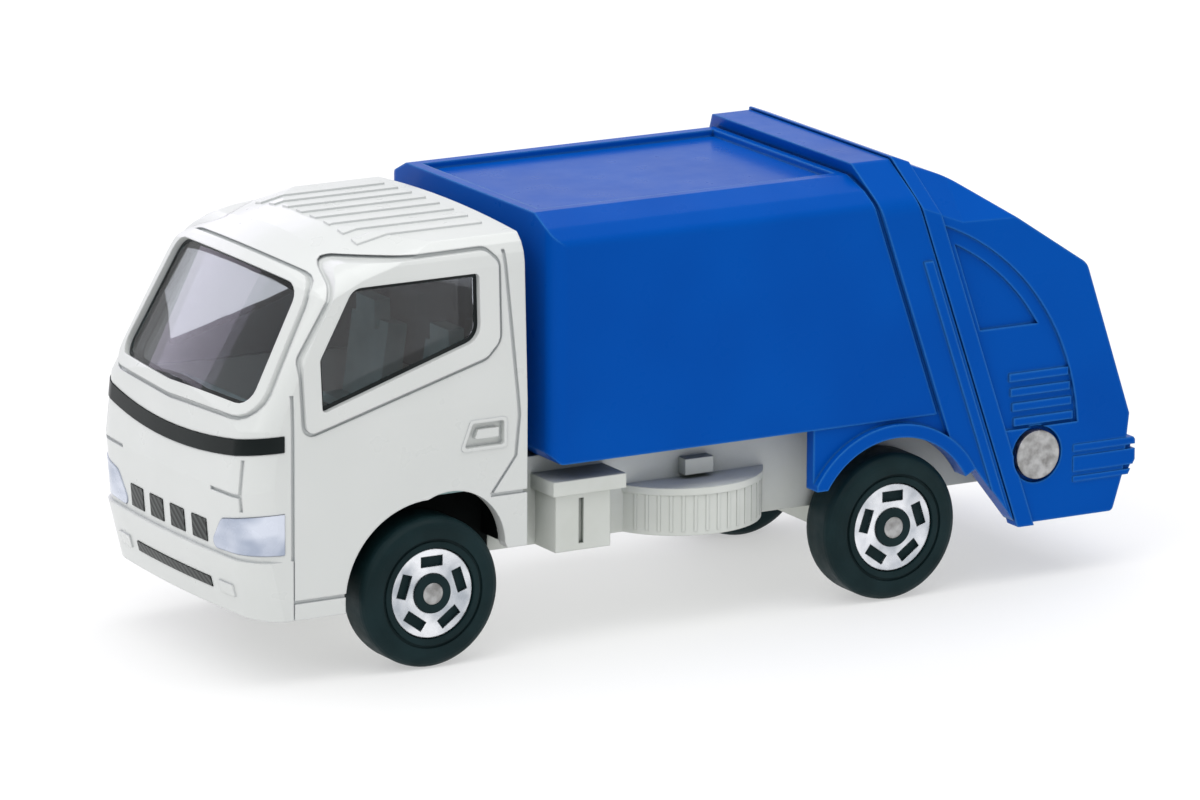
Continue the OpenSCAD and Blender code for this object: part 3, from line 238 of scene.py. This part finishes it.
def printed_mesh(name, row_scale=820, waver=0.6):
    """Black print with the fine slanting mesh of a grille."""
    s = Shader(name, 0.35, Specular_IOR_Level=0.3)
    rows = s.node("TexWave", wave_type="BANDS", bands_direction="DIAGONAL", wave_profile="SIN")
    rows.inputs["Scale"].default_value = row_scale
    rows.inputs["Distortion"].default_value = waver
    s.links.new(s.coord, rows.inputs["Vector"])
    s.colour(rows.outputs["Fac"], (0.003, 0.004, 0.004), (0.05, 0.06, 0.055), 0.4, 0.95)
    return s.bump(rows.outputs["Fac"], 0.02, 0.6)


black_mesh = printed_mesh("black_mesh")

NODE_FINISH = {
    "cab_shell": white_paint, "cab_glazing": glass, "cab_interior": grey_moulding,
    "headlamp_left": lamp_silver, "headlamp_right": lamp_silver,
    "grille_band": gloss_black, "grille_panels": black_mesh, "bumper_slot": black_mesh,
    "base": base_moulding, "load_body": blue_paint, "tailgate": blue_paint, "tipping_pin": steel,
}


def finish_for(name):
    if name in NODE_FINISH:
        return NODE_FINISH[name]
    if name.startswith("wheel_face"):
        return wheel_silver
    return wheel_black if name.startswith("wheel") else steel


def dress(obj, shader):
    obj.data.materials.clear()
    obj.data.materials.append(shader.mat)
    for face in obj.data.polygons:
        face.material_index = 0


for node_name, node_object in frame["nodes"].items():
    dress(node_object, finish_for(node_name))


def paint_well_shade(obj, floor_z):
    """Faces of the interior moulding below the cab floor, in the wheel wells and under the floor, are black:
    painted shade.
    """
    obj.data.materials.append(painted_well_shade.mat)
    for face in obj.data.polygons:
        if (obj.matrix_world @ face.center).z < floor_z:
            face.material_index = 1


CAB_FLOOR_Z = 12.45
paint_well_shade(frame["nodes"]["cab_interior"], CAB_FLOOR_Z * MM)

# Dark rings round the panes, painted shade of the sunken reveals and partly their black print, in mm; the
# sizes are the cab's own

NOSE_X, FRONT_AXLE_X = 37.75, 22.45
BELT_Z, CROWN_Z, CAB_HALF, TUMBLEHOME = 19.0, 31.5, 12.1, 0.6
SCREEN_Z, SCREEN_BACK, SCREEN_LEAN, SCREEN_BOW = 20.86, 0.7, math.radians(29.6), 40.0
GLASS_SINK = 0.3                      # the panes lie this far under the cab's skin
RING_LIFT, RING_W = 0.04, 0.32
EDGE_GAP = 0.02                       # between a ring and the opening's edge
TIGHTEST = 0.1                        # the smallest radius of a ring's corner

# Corners (x ahead of the front axle, z) and (up the screen, across), each with its radius
SIDE_WINDOW = [(8.8, 19.9), (8.9, 23.8), (6.1, 28.7), (-4.2, 28.7), (-4.2, 23.9)]
SIDE_RADII = [0.3, 0.5, 1.2, 0.4, 1.4]
SCREEN = [(-0.3, 0), (0.15, -10), (9.6, -9.3), (9.6, 9.3), (0.15, 10)]
SCREEN_RADII = [8, 1.4, 1.4, 1.4, 1.4]


def shrunk(points, d):
    """An outline that runs counter-clockwise, with every side moved in by d."""
    out = []
    for i, p in enumerate(points):
        u = (p - points[i - 1]).normalized()
        v = (points[(i + 1) % len(points)] - p).normalized()
        a, b = Vector((-u.y, u.x)), Vector((-v.y, v.x))
        out.append(p + (a + b) * (d / (1 + a.dot(b))))
    return out


def rounded(points, radii, steps=8):
    """The outline with an arc at each corner."""
    out = []
    for i, (p, r) in enumerate(zip(points, radii)):
        u = (points[i - 1] - p).normalized()
        v = (points[(i + 1) % len(points)] - p).normalized()
        half = math.acos(max(-1, min(1, u.dot(v)))) / 2
        m = p + (u + v).normalized() * (r / math.sin(half))
        s, e = p + u * (r / math.tan(half)) - m, p + v * (r / math.tan(half)) - m
        a0 = math.atan2(s.y, s.x)
        turn = (math.atan2(e.y, e.x) - a0 + 3 * math.pi) % (2 * math.pi) - math.pi
        for k in range(steps + 1):
            a = a0 + turn * k / steps
            out.append(m + r * Vector((math.cos(a), math.sin(a))))
    return out


def pane_edge_ring(name, points, radii, place):
    """A flat black ring just inside an opening, on the pane, as painted shade and print; place() takes it
    from the outline into space.
    """
    corners = [Vector(p) for p in points]
    rings = [rounded(shrunk(corners, d), [max(r - d, TIGHTEST) for r in radii]) for d in (EDGE_GAP, RING_W)]
    n = len(rings[0])
    verts = [at_mm(*place(q.x, q.y)) for ring in rings for q in ring]
    faces = [(i, (i + 1) % n, n + (i + 1) % n, n + i) for i in range(n)]
    mesh = bpy.data.meshes.new(name)
    mesh.from_pydata(verts, [], faces)
    obj = bpy.data.objects.new(name, mesh)
    bpy.context.scene.collection.objects.link(obj)
    obj.data.materials.append(pane_edge_shade_and_print.mat)
    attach(obj, "chassis")


def side_place(side):
    """Onto the side pane, which leans in above the belt line."""
    slope = TUMBLEHOME / (CROWN_Z - BELT_Z)

    def place(x, z):
        y = CAB_HALF - (z - BELT_Z) * slope - GLASS_SINK + RING_LIFT
        return FRONT_AXLE_X + x, side * y, z
    return place


def screen_place(u, v):
    """Onto the windscreen, u up its lean and v across its bow."""
    r = SCREEN_BOW - GLASS_SINK + RING_LIFT
    out = math.sqrt(r * r - v * v) - SCREEN_BOW
    return (NOSE_X - SCREEN_BACK - u * math.sin(SCREEN_LEAN) + out * math.cos(SCREEN_LEAN), v,
            SCREEN_Z + u * math.cos(SCREEN_LEAN) + out * math.sin(SCREEN_LEAN))


for side_name, side in (("left", 1), ("right", -1)):
    pane_edge_ring("window_edge_shade_and_print_" + side_name, SIDE_WINDOW, SIDE_RADII, side_place(side))
pane_edge_ring("windscreen_edge_shade_and_print", SCREEN, SCREEN_RADII, screen_place)

# Stage, camera and light, in metres

FLOOR_HALF = 3.0
FLOOR_GLOW = 0.46                     # a grey floor that glows is pale, and throws little light up
AIM = (0, 0, 0.015)                   # the middle of the truck


def floor():
    mesh = bpy.data.meshes.new("floor")
    r = FLOOR_HALF
    mesh.from_pydata([(-r, -r, 0), (r, -r, 0), (r, r, 0), (-r, r, 0)], [], [(0, 1, 2, 3)])
    obj = bpy.data.objects.new("floor", mesh)
    bpy.context.scene.collection.objects.link(obj)
    s = Shader("floor", 0.6, Specular_IOR_Level=0.1, Emission_Strength=FLOOR_GLOW)
    s.bsdf.inputs["Emission Color"].default_value = (1, 1, 1, 1)
    s.colour(s.noise(60), (0.47, 0.47, 0.465), (0.49, 0.49, 0.485))
    obj.data.materials.append(s.mat)


def area(name, place, size, watts, colour=(1, 1, 1)):
    """A soft rectangular light turned towards the truck."""
    light = bpy.data.lights.new(name, "AREA")
    light.shape = "RECTANGLE"
    light.size, light.size_y = size
    light.energy = watts
    light.color = colour
    obj = bpy.data.objects.new(name, light)
    obj.location = place
    obj.rotation_mode = "QUATERNION"
    obj.rotation_quaternion = (Vector(AIM) - Vector(place)).to_track_quat("-Z", "Y")
    bpy.context.scene.collection.objects.link(obj)


# The camera as fitted to the photo
ROUND, HEIGHT, ROLL = (math.radians(a) for a in (29.9977, 13.8562, 0.2861))
DISTANCE = 0.66994
VIEW_CENTRE = at_mm(2.95, 0, 0)
MOVE_RIGHT, MOVE_UP = 1.4324 * MM, 14.5118 * MM
FOCAL_PX, PHOTO_W_PX, SENSOR_MM = 9001, 1200, 36


def camera():
    c = Vector((math.sin(ROUND) * math.cos(HEIGHT), math.cos(ROUND) * math.cos(HEIGHT), math.sin(HEIGHT)))
    right = (-c).cross(Vector((0, 0, 1))).normalized()
    up = right.cross(-c)
    x_axis = right * math.cos(ROLL) + up * math.sin(ROLL)
    y_axis = up * math.cos(ROLL) - right * math.sin(ROLL)
    place = c * DISTANCE + x_axis * MOVE_RIGHT + y_axis * MOVE_UP + VIEW_CENTRE
    data = bpy.data.cameras.new("camera")
    data.sensor_width = SENSOR_MM
    data.lens = FOCAL_PX * SENSOR_MM / PHOTO_W_PX
    data.clip_start, data.clip_end = 0.01, 20
    obj = bpy.data.objects.new("camera", data)
    turn = Matrix((x_axis, y_axis, c)).transposed()
    obj.matrix_world = Matrix.Translation(place) @ turn.to_4x4()
    bpy.context.scene.collection.objects.link(obj)
    bpy.context.scene.camera = obj


def world():
    w = bpy.data.worlds.new("studio")
    w.use_nodes = True
    background = w.node_tree.nodes["Background"]
    background.inputs["Color"].default_value = (0.97, 0.98, 1.0, 1)
    background.inputs["Strength"].default_value = 0.72
    bpy.context.scene.world = w


floor()
world()
camera()
area("key", place=(0.6, 0.25, 0.7), size=(0.6, 0.6), watts=2.2)
area("top", place=(-0.1, 0.0, 0.9), size=(0.9, 0.9), watts=4.6)
area("far_side", place=(0.1, -0.8, 0.32), size=(1.0, 0.35), watts=1.2, colour=(0.86, 0.76, 1.0))

view = bpy.context.scene.view_settings
view.view_transform = "Standard"
